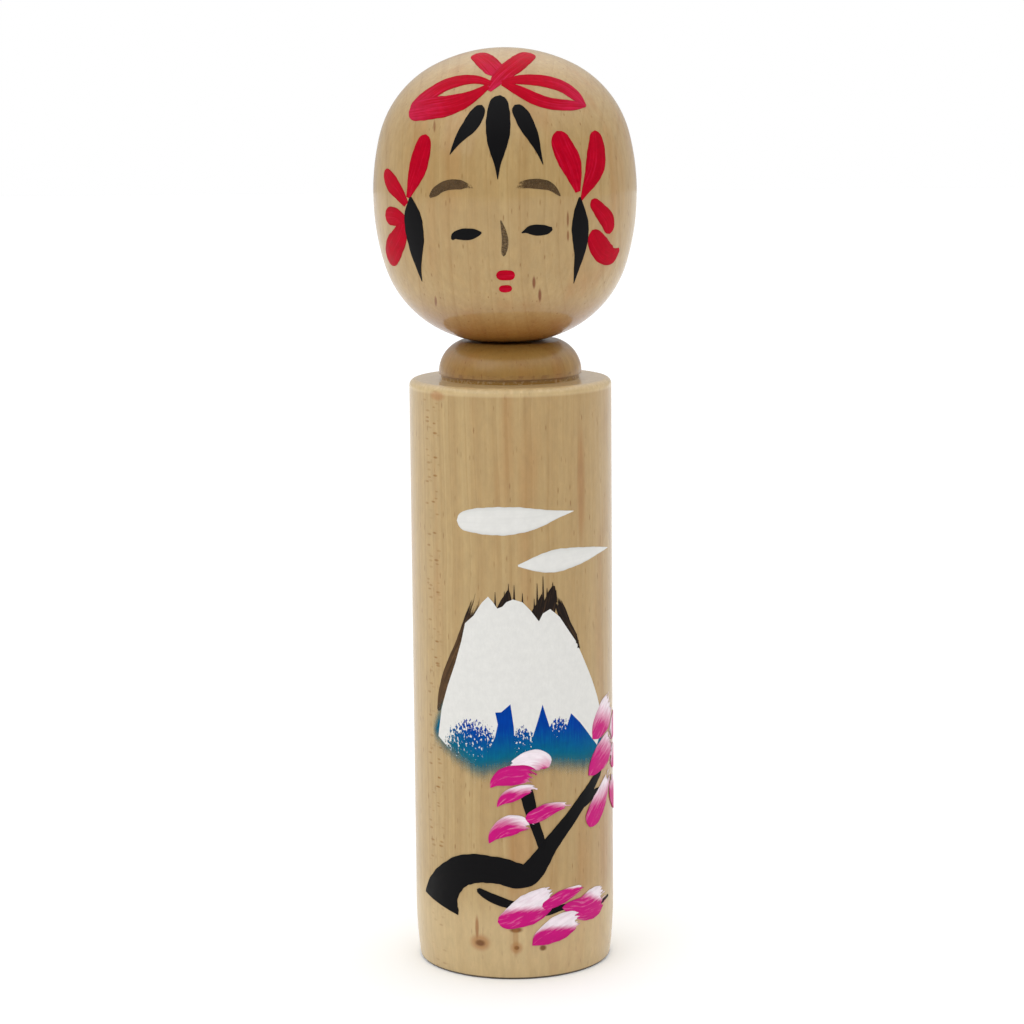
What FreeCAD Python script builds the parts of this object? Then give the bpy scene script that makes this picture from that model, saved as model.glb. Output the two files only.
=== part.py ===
# Kokeshi doll: a turned wooden body, a half-round neck collar glued on its shoulder,
# and a head that turns on a peg. The peg is glued into the head, and its bulb is caught
# under the lip of the socket in the body, so the head turns but doesn't lift off.
# Frame: millimetres, +Z up, origin on the floor at the body's axis, the face towards -Y.
import FreeCAD, Part
import math
import os
import re

import Sketcher

# Driving dimensions in millimetres: alias, value, meaning.
SIZES = [
    ("total_height", 182.0, "floor to the crown of the head, six sun"),
    ("body_radius", 20.0, "the straight part of the body"),
    ("shoulder_height", 117.5, "floor to the flat shoulder"),
    ("shoulder_round", 1.3, "fillet round the shoulder's edge"),
    ("foot_radius", 19.25, "the body where it meets its foot chamfer"),
    ("foot_rise", 12.0, "height at which the body has drawn in no more"),
    ("foot_curve", 90.0, "profile radius of the drawn-in foot"),
    ("foot_chamfer", 0.35, "chamfer round the resting face"),
    ("collar_radius", 14.1, "the collar at its lip"),
    ("collar_height", 7.4, "shoulder to the collar's top"),
    ("collar_top_radius", 9.8, "the collar's flat top"),
    ("collar_curve", 6.6, "profile radius of the collar's half-round side"),
    ("quirk_height", 1.0, "the small step under the collar's lip"),
    ("quirk_depth", 0.45, "how far that step stands back from the lip"),
    ("collar_bore_radius", 5.3, "hole for the peg through the collar"),
    ("turning_gap", 0.2, "between the collar's top and the head's seat"),
    ("head_radius", 25.8, "the head at its widest"),
    ("head_middle", 153.8, "height of the head's widest ring"),
    ("side_curve", 47.0, "profile radius of the head's side"),
    ("crown_curve", 30.0, "profile radius of the crown"),
    ("brow_curve", 21.0, "profile radius between side and crown"),
    ("cheek_curve", 21.5, "profile radius between side and chin"),
    ("chin_curve", 29.5, "profile radius of the chin"),
    ("chin_height", 124.2, "where the chin's curve would meet the head's axis"),
    ("neck_offset", -0.7, "the neck's axis from the body's axis, along X"),
    ("peg_radius", 5.0, "the peg's shaft"),
    ("peg_clearance", 0.05, "radial running clearance in the socket"),
    ("peg_in_head", 20.0, "length of the peg above the seat"),
    ("peg_in_body", 20.0, "length of the peg below the shoulder"),
    ("peg_chamfer", 0.6, "chamfer at both ends of the peg"),
    ("bulb_radius", 5.6, "the bulb at the peg's lower end"),
    ("bulb_height", 6.0, "the bulb with its cone"),
    ("bulb_cone", 1.2, "height of the cone from bulb to shaft"),
    ("lip_play", 0.3, "axial play between the bulb and the socket's lip"),
    ("socket_spare", 1.5, "empty depth below the peg"),
]

# Heights that several pieces share, as sums of the aliases above.
COLLAR_TOP = "shoulder_height + collar_height"
SEAT = COLLAR_TOP + " + turning_gap"
BULB_TOP = "shoulder_height - peg_in_body + bulb_height"

START, END, CENTRE = 1, 2, 3
ORIGIN = (-1, START)
ON_FLOOR = -1
ON_AXIS = -2
FULL_TURN = 360.0
UP = FreeCAD.Vector(0, 0, 1)
SAME_SIZE = 1e-6
LEAST_CUT = 1.0  # cubic millimetres

doc = FreeCAD.newDocument("kokeshi_doll")
sheet = doc.addObject("Spreadsheet::Sheet", "Sizes")
for row, (alias, value, meaning) in enumerate(SIZES, start=1):
    sheet.set(f"A{row}", alias)
    sheet.set(f"B{row}", str(value))
    sheet.set(f"C{row}", meaning)
    sheet.setAlias(f"B{row}", alias)
doc.recompute()


def from_sheet(formula):
    """A formula over the aliases, as another object's expression names them."""
    return re.sub(r"[a-z_]+", r"Sizes.\g<0>", formula)


def worth(formula):
    """The present value of a formula over the aliases."""
    return float(sheet.evalExpression(formula))


def new_body(name):
    """An empty body whose Label names its file."""
    body = doc.addObject("PartDesign::Body", name)
    body.Label = name
    return body


def new_sketch(body, name, role="XZ_Plane"):
    """A sketch on one of the body's own origin planes."""
    sketch = body.newObject("Sketcher::SketchObject", name)
    plane = next(f for f in body.Origin.OriginFeatures if f.Role == role)
    sketch.AttachmentSupport = [(plane, "")]
    sketch.MapMode = "FlatFace"
    return sketch


def bind(sketch, name, formula, kind, *where):
    """A dimension that follows the sheet."""
    index = sketch.addConstraint(Sketcher.Constraint(kind, *where, worth(formula)))
    sketch.renameConstraint(index, name)
    sketch.setExpression(f"Constraints.{name}", from_sheet(formula))


def place(sketch, name, edge, end, across, up):
    """Places a point by formulas for its distances across and up; None leaves it on that axis."""
    for kind, formula, axis in (("DistanceX", across, ON_AXIS), ("DistanceY", up, ON_FLOOR)):
        if formula is None:
            sketch.addConstraint(Sketcher.Constraint("PointOnObject", edge, end, axis))
        else:
            bind(sketch, name + kind[-1], formula, kind, *ORIGIN, edge, end)


def bulging_arc(here, there, radius):
    """The short arc of a radius from here up to there, bulging away from the axis."""
    chord = there - here
    outward = FreeCAD.Vector(chord.y, -chord.x, 0).normalize()
    sagitta = radius - math.sqrt(radius**2 - (chord.Length / 2) ** 2)
    return Part.Arc(here, (here + there) / 2 + outward * sagitta, there)


def half_section(body, name, corners):
    """A closed outline of corners (label, across, up) or, where an arc follows, (..., radius)."""
    sketch = new_sketch(body, name)
    spots = [
        FreeCAD.Vector(worth(across) if across else 0, worth(up) if up else 0, 0)
        for _, across, up, *_ in corners
    ]
    for i, (_, _, _, *radius) in enumerate(corners):
        here, there = spots[i], spots[(i + 1) % len(spots)]
        edge = bulging_arc(here, there, worth(radius[0])) if radius else Part.LineSegment(here, there)
        sketch.addGeometry(edge)
    for i, (label, across, up, *radius) in enumerate(corners):
        sketch.addConstraint(
            Sketcher.Constraint("Coincident", (i or len(corners)) - 1, END, i, START)
        )
        place(sketch, label, i, START, across, up)
        if radius:
            bind(sketch, label + "_curve", radius[0], "Radius", i)
    return sketch


def turn(body, sketch, name, kind="Revolution"):
    """Turns a half-section a full circle about its sketch's upright axis."""
    feature = body.newObject("PartDesign::" + kind, name)
    feature.Profile = sketch
    feature.ReferenceAxis = (sketch, ["V_Axis"])
    feature.Angle = FULL_TURN
    doc.recompute()
    return feature


def bore(body, name, radius, depth, mouth, upward):
    """A round hole from a mouth at that height, downward or upward, on the sketch's centre."""
    sketch = new_sketch(body, name + "_mouth", "XY_Plane")
    sketch.setExpression("AttachmentOffset.Base.z", from_sheet(mouth))
    sketch.addGeometry(Part.Circle(FreeCAD.Vector(), UP, worth(radius)))
    sketch.addConstraint(Sketcher.Constraint("Coincident", 0, CENTRE, *ORIGIN))
    bind(sketch, "bore_radius", radius, "Radius", 0)
    hole = body.newObject("PartDesign::Pocket", name)
    hole.Profile = sketch
    hole.setExpression("Length", from_sheet(depth))
    hole.Reversed = upward
    return sketch


def on_neck_axis(thing, property_name="AttachmentOffset"):
    """Moves a sketch, or a whole body, from the body's axis to the neck's axis."""
    thing.setExpression(property_name + ".Base.x", from_sheet("neck_offset"))


def rounded(body, feature, name, radius, height, fillet):
    """Fillets the ring of that radius at that height."""
    ring = next(
        f"Edge{i}"
        for i, edge in enumerate(feature.Shape.Edges, start=1)
        if isinstance(edge.Curve, Part.Circle)
        and math.isclose(edge.Curve.Radius, worth(radius), abs_tol=SAME_SIZE)
        and math.isclose(edge.Curve.Center.z, worth(height), abs_tol=SAME_SIZE)
    )
    fillet_feature = body.newObject("PartDesign::Fillet", name)
    fillet_feature.Base = (feature, [ring])
    fillet_feature.setExpression("Radius", from_sheet(fillet))
    doc.recompute()


def must_shrink(body, cut):
    """Runs a cut and stops if it left the body's volume as it was."""
    before = body.Shape.Volume
    cut()
    doc.recompute()
    if body.Shape.Volume > before - LEAST_CUT:
        raise RuntimeError(f"a cut removed nothing from {body.Label}")


def make_trunk():
    """The cylinder, drawn in slightly at its foot, with the undercut socket for the peg."""
    body = new_body("body")
    outline = half_section(
        body,
        "body_outline",
        [
            ("middle", None, None),
            ("rest", "foot_radius - foot_chamfer", None),
            ("foot", "foot_radius", "foot_chamfer", "foot_curve"),
            ("side", "body_radius", "foot_rise"),
            ("edge", "body_radius", "shoulder_height"),
            ("shoulder", None, "shoulder_height"),
        ],
    )
    cylinder = turn(body, outline, "body_turned")
    rounded(body, cylinder, "shoulder_edge", "body_radius", "shoulder_height", "shoulder_round")

    def cut_socket():
        lip = BULB_TOP + " + lip_play"
        floor = "shoulder_height - peg_in_body - socket_spare"
        socket = half_section(
            body,
            "socket_outline",
            [
                ("bottom", None, floor),
                ("corner", "bulb_radius + peg_clearance", floor),
                ("roof", "bulb_radius + peg_clearance", lip),
                ("lip", "peg_radius + peg_clearance", lip),
                ("mouth", "peg_radius + peg_clearance", "shoulder_height"),
                ("middle", None, "shoulder_height"),
            ],
        )
        on_neck_axis(socket)
        turn(body, socket, "socket", "Groove")

    must_shrink(body, cut_socket)
    return body


def make_collar():
    """The half-round ring between shoulder and head, standing on a small recessed step."""
    body = new_body("neck_collar")
    lip = "shoulder_height + quirk_height"
    outline = half_section(
        body,
        "collar_outline",
        [
            ("middle", None, "shoulder_height"),
            ("step", "collar_radius - quirk_depth", "shoulder_height"),
            ("quirk", "collar_radius - quirk_depth", lip),
            ("lip", "collar_radius", lip, "collar_curve"),
            ("top", "collar_top_radius", COLLAR_TOP),
            ("centre", None, COLLAR_TOP),
        ],
    )
    turn(body, outline, "collar_turned")

    def cut_bore():
        on_neck_axis(
            bore(body, "collar_bore", "collar_bore_radius", "collar_height", COLLAR_TOP, False)
        )

    must_shrink(body, cut_bore)
    return body


def meeting_centre(first, first_reach, second, second_reach, above):
    """Where a curve's centre lies, at given distances from two others, above or below them."""
    line = second - first
    along = (first_reach**2 - second_reach**2 + line.Length**2) / (2 * line.Length)
    off = math.sqrt(first_reach**2 - along**2)
    unit = FreeCAD.Vector(line).normalize()
    normal = FreeCAD.Vector(-unit.y, unit.x, 0)
    return first + unit * along + normal * (off if above else -off)


def arc_between(centre, radius, here, there):
    """The arc of a circle from the direction of here to the direction of there, anticlockwise."""
    turns = [math.atan2(p.y - centre.y, p.x - centre.x) for p in (here, there)]
    return Part.ArcOfCircle(Part.Circle(centre, UP, radius), *turns)


def head_section(body):
    """The head's outline: five arcs, each tangent to the next, over a flat seat."""
    vector = FreeCAD.Vector
    seat = worth(SEAT)
    top = worth("total_height")
    chin = vector(0, worth("chin_height + chin_curve"), 0)
    crown = vector(0, top - worth("crown_curve"), 0)
    side = vector(worth("head_radius - side_curve"), worth("head_middle"), 0)
    cheek_reach = worth("side_curve - cheek_curve"), worth("chin_curve - cheek_curve")
    cheek = meeting_centre(side, cheek_reach[0], chin, cheek_reach[1], above=False)
    brow_reach = worth("side_curve - brow_curve"), worth("crown_curve - brow_curve")
    brow = meeting_centre(side, brow_reach[0], crown, brow_reach[1], above=True)
    curves = ["chin_curve", "cheek_curve", "side_curve", "brow_curve", "crown_curve"]
    centres = [chin, cheek, side, brow, crown]
    seat_radius = math.sqrt(worth("chin_curve") ** 2 - (chin.y - seat) ** 2)
    # Two arcs touch on the line through their centres, beyond the smaller one's.
    joins = [vector(seat_radius, seat, 0)]
    for i in range(len(centres) - 1):
        small, large = sorted((i, i + 1), key=lambda k: worth(curves[k]))
        outward = (centres[small] - centres[large]).normalize()
        joins.append(centres[small] + outward * worth(curves[small]))
    joins.append(vector(0, top, 0))

    sketch = new_sketch(body, "head_outline")
    for i, centre in enumerate(centres):
        sketch.addGeometry(arc_between(centre, worth(curves[i]), joins[i], joins[i + 1]))
    last = len(centres) - 1
    axis = last + 1
    base = last + 2
    sketch.addGeometry(Part.LineSegment(joins[-1], vector(0, seat, 0)))
    sketch.addGeometry(Part.LineSegment(vector(0, seat, 0), joins[0]))
    for i in range(last):
        sketch.addConstraint(Sketcher.Constraint("Tangent", i, END, i + 1, START))
    for here, there in ((last, axis), (axis, base), (base, 0)):
        sketch.addConstraint(Sketcher.Constraint("Coincident", here, END, there, START))
    sketch.addConstraint(Sketcher.Constraint("Horizontal", base))
    for i, curve in enumerate(curves):
        bind(sketch, curve, curve, "Radius", i)
    place(sketch, "crown_top", axis, START, None, "total_height")
    place(sketch, "seat", base, START, None, SEAT)
    sketch.addConstraint(Sketcher.Constraint("PointOnObject", last, CENTRE, ON_AXIS))
    place(sketch, "chin_centre", 0, CENTRE, None, "chin_height + chin_curve")
    side_arc = curves.index("side_curve")
    bind(sketch, "side_back", "side_curve - head_radius", "DistanceX", side_arc, CENTRE, *ORIGIN)
    bind(sketch, "side_up", "head_middle", "DistanceY", *ORIGIN, side_arc, CENTRE)
    return sketch


def make_head():
    """The head, with a blind hole for the peg in its seat."""
    body = new_body("head")
    turn(body, head_section(body), "head_turned")
    must_shrink(body, lambda: bore(body, "peg_hole", "peg_radius", "peg_in_head", SEAT, True))
    on_neck_axis(body, "Placement")
    return body


def make_peg():
    """The dowel between head and body, with the bulb that the socket's lip holds down."""
    body = new_body("neck_peg")
    bottom = "shoulder_height - peg_in_body"
    top = SEAT + " + peg_in_head"
    outline = half_section(
        body,
        "peg_outline",
        [
            ("bottom", None, bottom),
            ("tip", "bulb_radius - peg_chamfer", bottom),
            ("bulb", "bulb_radius", bottom + " + peg_chamfer"),
            ("cone", "bulb_radius", BULB_TOP + " - bulb_cone"),
            ("shaft", "peg_radius", BULB_TOP),
            ("shaft_top", "peg_radius", top + " - peg_chamfer"),
            ("end", "peg_radius - peg_chamfer", top),
            ("top", None, top),
        ],
    )
    turn(body, outline, "peg_turned")
    on_neck_axis(body, "Placement")
    return body


def check(pieces):
    """Stops on any failed object, open sketch, or invalid or empty shape."""
    doc.recompute()
    for thing in doc.Objects:
        if {"Invalid", "Error"} & set(thing.State):
            raise RuntimeError(f"{thing.Name} is {thing.State}")
        if thing.TypeId == "Sketcher::SketchObject" and thing.solve() != 0:
            raise RuntimeError(f"{thing.Name} doesn't solve")
    for piece in pieces:
        if piece.Shape.isNull() or not piece.Shape.isValid() or len(piece.Shape.Solids) != 1:
            raise RuntimeError(f"{piece.Label} isn't one valid solid")


pieces = [make_trunk(), make_collar(), make_head(), make_peg()]
check(pieces)
os.makedirs("parts", exist_ok=True)
for piece in pieces:
    piece.Shape.exportStep(f"parts/{piece.Label}.step")
    box = piece.Shape.BoundBox
    print(
        f"{piece.Label}: {piece.Shape.Volume / 1000:.2f} cm3,",
        f"x {box.XMin:.2f} to {box.XMax:.2f}, z {box.ZMin:.2f} to {box.ZMax:.2f}",
    )
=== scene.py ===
"""Looks of a turned and painted kokeshi doll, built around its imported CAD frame.

The CAD nodes keep their shape and get varnished wood. Every stroke of the decoration is
a thin film of paint that follows the turned surface under it. Lengths are millimetres
everywhere except in a mesh, a light or the camera, which hold Blender's metres.
"""

from __future__ import annotations

import logging
import math
from dataclasses import dataclass, field, replace
from enum import Enum
from typing import Any, Mapping, Sequence

import bpy
import numpy as np
from mathutils import Matrix, Vector


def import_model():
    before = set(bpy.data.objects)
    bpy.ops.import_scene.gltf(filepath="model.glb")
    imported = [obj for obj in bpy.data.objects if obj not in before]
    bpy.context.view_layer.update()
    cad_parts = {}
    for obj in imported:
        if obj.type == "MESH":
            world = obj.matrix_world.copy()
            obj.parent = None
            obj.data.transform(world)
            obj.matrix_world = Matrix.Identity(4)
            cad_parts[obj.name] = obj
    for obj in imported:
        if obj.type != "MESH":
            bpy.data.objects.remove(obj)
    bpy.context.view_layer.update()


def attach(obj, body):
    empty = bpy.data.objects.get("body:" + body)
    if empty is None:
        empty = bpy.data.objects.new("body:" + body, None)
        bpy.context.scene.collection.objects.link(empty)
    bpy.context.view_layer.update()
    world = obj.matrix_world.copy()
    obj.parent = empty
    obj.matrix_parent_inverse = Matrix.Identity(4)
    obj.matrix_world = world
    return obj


LOG = logging.getLogger("kokeshi")
MM = 0.001
RNG_SEED = 27
VARNISH_IOR = 1.5

Socket = bpy.types.NodeSocket
Tree = bpy.types.NodeTree


def linear(hex_colour: str) -> tuple[float, float, float, float]:
    """Turns an sRGB hex colour to the linear one that a shader takes.

    Args:
        hex_colour: Six hex digits after a hash sign.

    Returns:
        Linear red, green and blue, and a full alpha.
    """
    parts = [int(hex_colour[i : i + 2], 16) / 255 for i in (1, 3, 5)]
    red, green, blue = (c / 12.92 if c <= 0.04045 else ((c + 0.055) / 1.055) ** 2.4 for c in parts)
    return red, green, blue, 1.0


def add_node(
    tree: Tree,
    kind: str,
    inputs: Sequence[Any] | Mapping[Any, Any] = (),
    out: int | str = 0,
    **settings: Any,
) -> Socket | None:
    """Adds one node with its settings and links.

    Args:
        tree: The node tree that takes the node.
        kind: The node's type, without the words that all of them start with.
        inputs: A value or an output socket for each input, as a list in the node's own
            order or as a table by the inputs' names or numbers.
        out: The output to hand back, by its name or number.
        settings: The node's own properties.

    Returns:
        The chosen output, or nothing where the node has none.
    """
    node = tree.nodes.new("ShaderNode" + kind)
    for name, value in settings.items():
        setattr(node, name, value)
    table = inputs if isinstance(inputs, Mapping) else dict(enumerate(inputs))
    for socket, value in table.items():
        if isinstance(value, Socket):
            tree.links.new(value, node.inputs[socket])
        else:
            node.inputs[socket].default_value = value
    return node.outputs[out] if node.outputs else None


def new_material(name: str) -> tuple[bpy.types.Material, Tree]:
    """Makes an empty node material and returns it with its node tree."""
    material = bpy.data.materials.new(name)
    material.use_nodes = True
    material.node_tree.nodes.clear()
    return material, material.node_tree


# ---------------------------------------------------------------------------------------
# Turned surfaces, read from the CAD nodes
# ---------------------------------------------------------------------------------------


@dataclass
class TurnedSurface:
    """The outside of one turned node, as the painter's brush finds it.

    A place on it is two lengths in millimetres: across, to the viewer's right of the
    front, and up. A lift is a height over the wood.
    """

    node: str
    axis_x: float
    bore_radius: float
    bore_top: float
    heights: np.ndarray = field(init=False)
    radii: np.ndarray = field(init=False)

    def __post_init__(self) -> None:
        """Reads the profile from the node's own rings of vertices, which lie on the true surface."""
        mesh = bpy.data.objects[self.node].data
        places = np.array([vertex.co for vertex in mesh.vertices]) / MM
        radii = np.hypot(places[:, 0] - self.axis_x, places[:, 1])
        outer = (radii > self.bore_radius) | (places[:, 2] > self.bore_top)
        rings: dict[float, float] = {}
        for height, radius in zip(places[outer, 2].round(3), radii[outer]):
            rings[height] = max(radius, rings.get(height, 0.0))
        self.heights = np.array(sorted(rings))
        self.radii = np.array([rings[height] for height in self.heights])

    def point(self, across: float, up: float, lift: float) -> Vector:
        """The place over the surface, in metres."""
        raise NotImplementedError


@dataclass
class TrunkSurface(TurnedSurface):
    """The trunk's side: across is measured round it, and up is the height over the floor."""

    def point(self, across: float, up: float, lift: float) -> Vector:
        """The place over the trunk's side, in metres.

        Args:
            across: Length round the straight part, to the viewer's right of the front.
            up: Height over the floor.
            lift: Height over the wood.

        Returns:
            The point in the frame.
        """
        angle = across / self.radii.max()
        radius = float(np.interp(up, self.heights, self.radii)) + lift
        return Vector((self.axis_x + radius * math.sin(angle), -radius * math.cos(angle), up)) * MM


@dataclass
class HeadSurface(TurnedSurface):
    """The head: across and up are measured over its curve from the middle of its front."""

    middle: float
    reach: float

    def __post_init__(self) -> None:
        """Keeps the profile as distances from the head's centre, by angle of rise."""
        super().__post_init__()
        above = self.heights - self.middle
        self.rises = np.arctan2(above, self.radii)
        self.distances = np.hypot(above, self.radii)

    def point(self, across: float, up: float, lift: float) -> Vector:
        """The place over the head, in metres.

        Args:
            across: Length to the viewer's right of the front's middle.
            up: Length above the front's middle.
            lift: Height over the wood.

        Returns:
            The point in the frame.
        """
        length = math.hypot(across, up) or 1e-9
        turn = length / self.reach
        out = math.sin(turn) / length
        ray = Vector((across * out, -math.cos(turn), up * out))
        rise = math.asin(max(-1.0, min(1.0, ray.z)))
        distance = float(np.interp(rise, self.rises, self.distances)) + lift
        return (Vector((self.axis_x, 0, self.middle)) + ray * distance) * MM


# ---------------------------------------------------------------------------------------
# Strokes and patches of paint
# ---------------------------------------------------------------------------------------


class Tip(Enum):
    """How a stroke starts or ends."""

    ROUND = "the loaded brush is set down"
    POINT = "the brush is lifted as it moves"
    CUT = "the brush is turned off sharply"
    BRISTLES = "the hairs part and run dry"


@dataclass(frozen=True)
class Stroke:
    """One pull of the brush.

    The stations are (across, up, width) along its middle line. The turn of colour is the
    part of its length at which the second colour takes over, and the tilt is how much
    sooner it does so on the brush's left side, which carried it. Blend is the part of the
    length over which the colours meet, and dry the part over which a bristly end runs out.
    """

    stations: tuple[tuple[float, float, float], ...]
    start: Tip = Tip.ROUND
    end: Tip = Tip.POINT
    turn: float = 2.0
    tilt: float = 0.0
    blend: float = 0.8
    dry: float = 0.3


def pull(*stations: tuple[float, float, float], **how: Any) -> Stroke:
    """Makes a stroke of its stations and of how it starts, ends and changes colour."""
    return Stroke(stations, **how)


@dataclass(frozen=True)
class Spot:
    """A place where the brush was nearly dry: its middle, half sizes and how bare it is."""

    across: float
    up: float
    half_width: float
    half_height: float
    bare: float


@dataclass(frozen=True)
class Patch:
    """A flat coat inside an outline of (across, up), with soft edges and dry spots.

    The fade is the width of its soft edge at the sides and at the foot.
    """

    outline: tuple[tuple[float, float], ...]
    fade: tuple[float, float] | None = None
    spots: tuple[Spot, ...] = ()


def smooth_step(value: np.ndarray | float) -> np.ndarray | float:
    """Eases a number from 0 to 1, and holds it there."""
    value = np.clip(value, 0.0, 1.0)
    return value * value * (3 - 2 * value)


class Painter:
    """Lays strokes and patches as thin closed films that follow a turned surface."""

    # The mesh: length of a stroke's steps, cells across it, and size of a patch's cells.
    STEP = 0.35
    FEWEST_STEPS = 24
    ACROSS = 10
    CELL = 1.0
    # The films: height of the first coat, of each further coat and of a stroke over the
    # one before, thickness, and the angle past which an edge stays sharp.
    FIRST_LIFT = 0.045
    LAYER = 0.016
    OVERLAP = 0.003
    DEPTH = 0.09
    EDGE_ANGLE = math.radians(40)
    # The hand: the least half width, and the depth and lengths of its waver. A round end's
    # length goes by its width, or by a share of the widest half width where that is more.
    THINNEST = 0.03
    WAVER = 0.012
    WAVES = (9.0, 4.3, 2.1)
    CAP_LENGTH = 0.55
    CAP_SHARE = 0.6
    # Share of a stroke's length over which its direction is read.
    NUDGE = 0.01
    # Where a patch's second colour starts and how far it reaches, in widths of its soft edge.
    TURN_START = 1.1
    TURN_REACH = 1.7
    # Strokes take their hairs from places this far apart at most.
    SEED_RANGE = 90

    def __init__(self, surface: TurnedSurface, body: str) -> None:
        """Takes the surface to paint on and the body that the paint moves with."""
        self.surface = surface
        self.body = body
        self.random = np.random.default_rng(RNG_SEED)

    def strokes(
        self, name: str, strokes: Sequence[Stroke], finish: "Paint", layer: int = 0
    ) -> bpy.types.Object:
        """Paints one piece of several strokes, each a little over the one before.

        Args:
            name: The piece's name.
            strokes: What to paint, in order.
            finish: The paint.
            layer: How many coats lie under it.

        Returns:
            The finished piece.
        """
        lift = self.FIRST_LIFT + layer * self.LAYER
        parts = [
            self._lay_stroke(stroke, lift + i * self.OVERLAP) for i, stroke in enumerate(strokes)
        ]
        return self._finish(name, parts, finish)

    def patch(self, name: str, patch: Patch, finish: "Paint", layer: int = 0) -> bpy.types.Object:
        """Paints one flat coat.

        Args:
            name: The piece's name.
            patch: What to paint.
            finish: The paint.
            layer: How many coats lie under it.

        Returns:
            The finished piece.
        """
        part = self._lay_patch(patch, self.FIRST_LIFT + layer * self.LAYER)
        return self._finish(name, [part], finish)

    def _wavering(self, along: np.ndarray) -> np.ndarray:
        """A hand's small unsteadiness along a stroke's edge, as a factor on its width."""
        total = np.zeros_like(along)
        for length in self.WAVES:
            phase = self.random.uniform(0, math.tau)
            total += np.sin(along * math.tau / length + phase)
        return 1 + self.WAVER * total

    def _lay_stroke(self, stroke: Stroke, lift: float) -> bpy.types.Object:
        """Shapes a grid to a stroke.

        Args:
            stroke: The stroke.
            lift: Height of the film's top over the wood.

        Returns:
            The film's top, with its attributes.
        """
        stations = np.array(stroke.stations)
        legs = np.hypot(*np.diff(stations[:, :2], axis=0).T)
        knots = np.concatenate([[0], np.cumsum(legs)])
        length = knots[-1]
        count = max(self.FEWEST_STEPS, int(length / self.STEP))
        bpy.ops.object.select_all(action="DESELECT")
        bpy.ops.mesh.primitive_grid_add(
            x_subdivisions=count, y_subdivisions=self.ACROSS, size=1, location=(0, 0, 0)
        )
        film = bpy.context.object
        corners = np.array([vertex.co for vertex in film.data.vertices])
        along = (corners[:, 0] + 0.5) * length
        side = corners[:, 1] * 2
        rows = [smooth_curve(knots, stations[:, i], along) for i in range(3)]
        nudge = self.NUDGE * length
        ahead = [
            smooth_curve(knots, stations[:, i], along + nudge)
            - smooth_curve(knots, stations[:, i], along - nudge)
            for i in range(2)
        ]
        scale = np.hypot(*ahead)
        normal = np.array([-ahead[1], ahead[0]]) / scale
        half = np.maximum(rows[2], 0) / 2
        for tip, distance, width in (
            (stroke.start, along, stations[0, 2]),
            (stroke.end, length - along, stations[-1, 2]),
        ):
            if tip is Tip.ROUND:
                cap = max(width, self.CAP_SHARE * float(half.max())) * self.CAP_LENGTH
                near = np.clip(distance / cap, 0, 1)
                half = half * np.sqrt(1 - (1 - near) ** 2)
        left = self._wavering(along)
        right = self._wavering(along)
        half = np.maximum(half * np.where(side > 0, left, right), self.THINNEST)
        offset = side * half
        across, up = rows[0] + normal[0] * offset, rows[1] + normal[1] * offset
        for vertex, a, u in zip(film.data.vertices, across, up):
            vertex.co = self.surface.point(a, u, lift)
        colour_shift = along / length + stroke.tilt * side - stroke.turn
        second = smooth_step(colour_shift / stroke.blend + 0.5)
        dryness = np.zeros_like(along)
        for tip, distance in ((stroke.start, along), (stroke.end, length - along)):
            if tip is Tip.BRISTLES:
                dryness = np.maximum(dryness, 1 - distance / (stroke.dry * length))
        seed = self.random.uniform(0, self.SEED_RANGE)
        self._write(film, along, offset, seed, second, dryness, np.abs(side))
        return film

    def _lay_patch(self, patch: Patch, lift: float) -> bpy.types.Object:
        """Fills an outline, cuts it into cells that can bend, and wraps it.

        Args:
            patch: The patch.
            lift: Height of the film's top over the wood.

        Returns:
            The film's top, with its attributes.
        """
        outline = np.array(patch.outline)
        bpy.ops.object.select_all(action="DESELECT")
        bpy.ops.mesh.primitive_circle_add(vertices=len(outline), fill_type="NGON")
        film = bpy.context.object
        # The circle runs clockwise as seen from its front, so the outline is given backwards.
        for vertex, (across, up) in zip(film.data.vertices, outline):
            vertex.co = (across, up, 0)
        bpy.ops.object.mode_set(mode="EDIT")
        bpy.ops.mesh.select_all(action="SELECT")
        bpy.ops.mesh.quads_convert_to_tris(ngon_method="BEAUTY")
        bpy.ops.mesh.normals_make_consistent(inside=False)
        for axis in range(2):
            low, high = outline[:, axis].min(), outline[:, axis].max()
            for place in np.arange(low + self.CELL / 2, high, self.CELL):
                bpy.ops.mesh.select_all(action="SELECT")
                point = [0.0, 0.0, 0.0]
                point[axis] = float(place)
                towards = [0.0, 0.0, 0.0]
                towards[axis] = 1.0
                bpy.ops.mesh.bisect(plane_co=point, plane_no=towards)
        bpy.ops.object.mode_set(mode="OBJECT")
        flat = np.array([vertex.co for vertex in film.data.vertices])
        if film.data.polygons[0].normal.z < 0:
            film.data.flip_normals()
        across, up = flat[:, 0], flat[:, 1]
        for vertex, a, u in zip(film.data.vertices, across, up):
            vertex.co = self.surface.point(a, u, lift)
        dryness = np.zeros_like(across)
        second = np.zeros_like(across)
        if patch.fade:
            edge = distance_to_outline(flat[:, :2] / patch.fade, outline / patch.fade)
            dryness = 1 - np.clip(edge, 0, 1)
            second = smooth_step(self.TURN_START - edge / self.TURN_REACH)
        for spot in patch.spots:
            away = np.hypot(
                (across - spot.across) / spot.half_width, (up - spot.up) / spot.half_height
            )
            dryness = np.maximum(dryness, spot.bare * np.clip(1 - away, 0, 1))
        seed = self.random.uniform(0, self.SEED_RANGE)
        self._write(film, up, across, seed, second, dryness, np.zeros_like(across))
        return film

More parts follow.
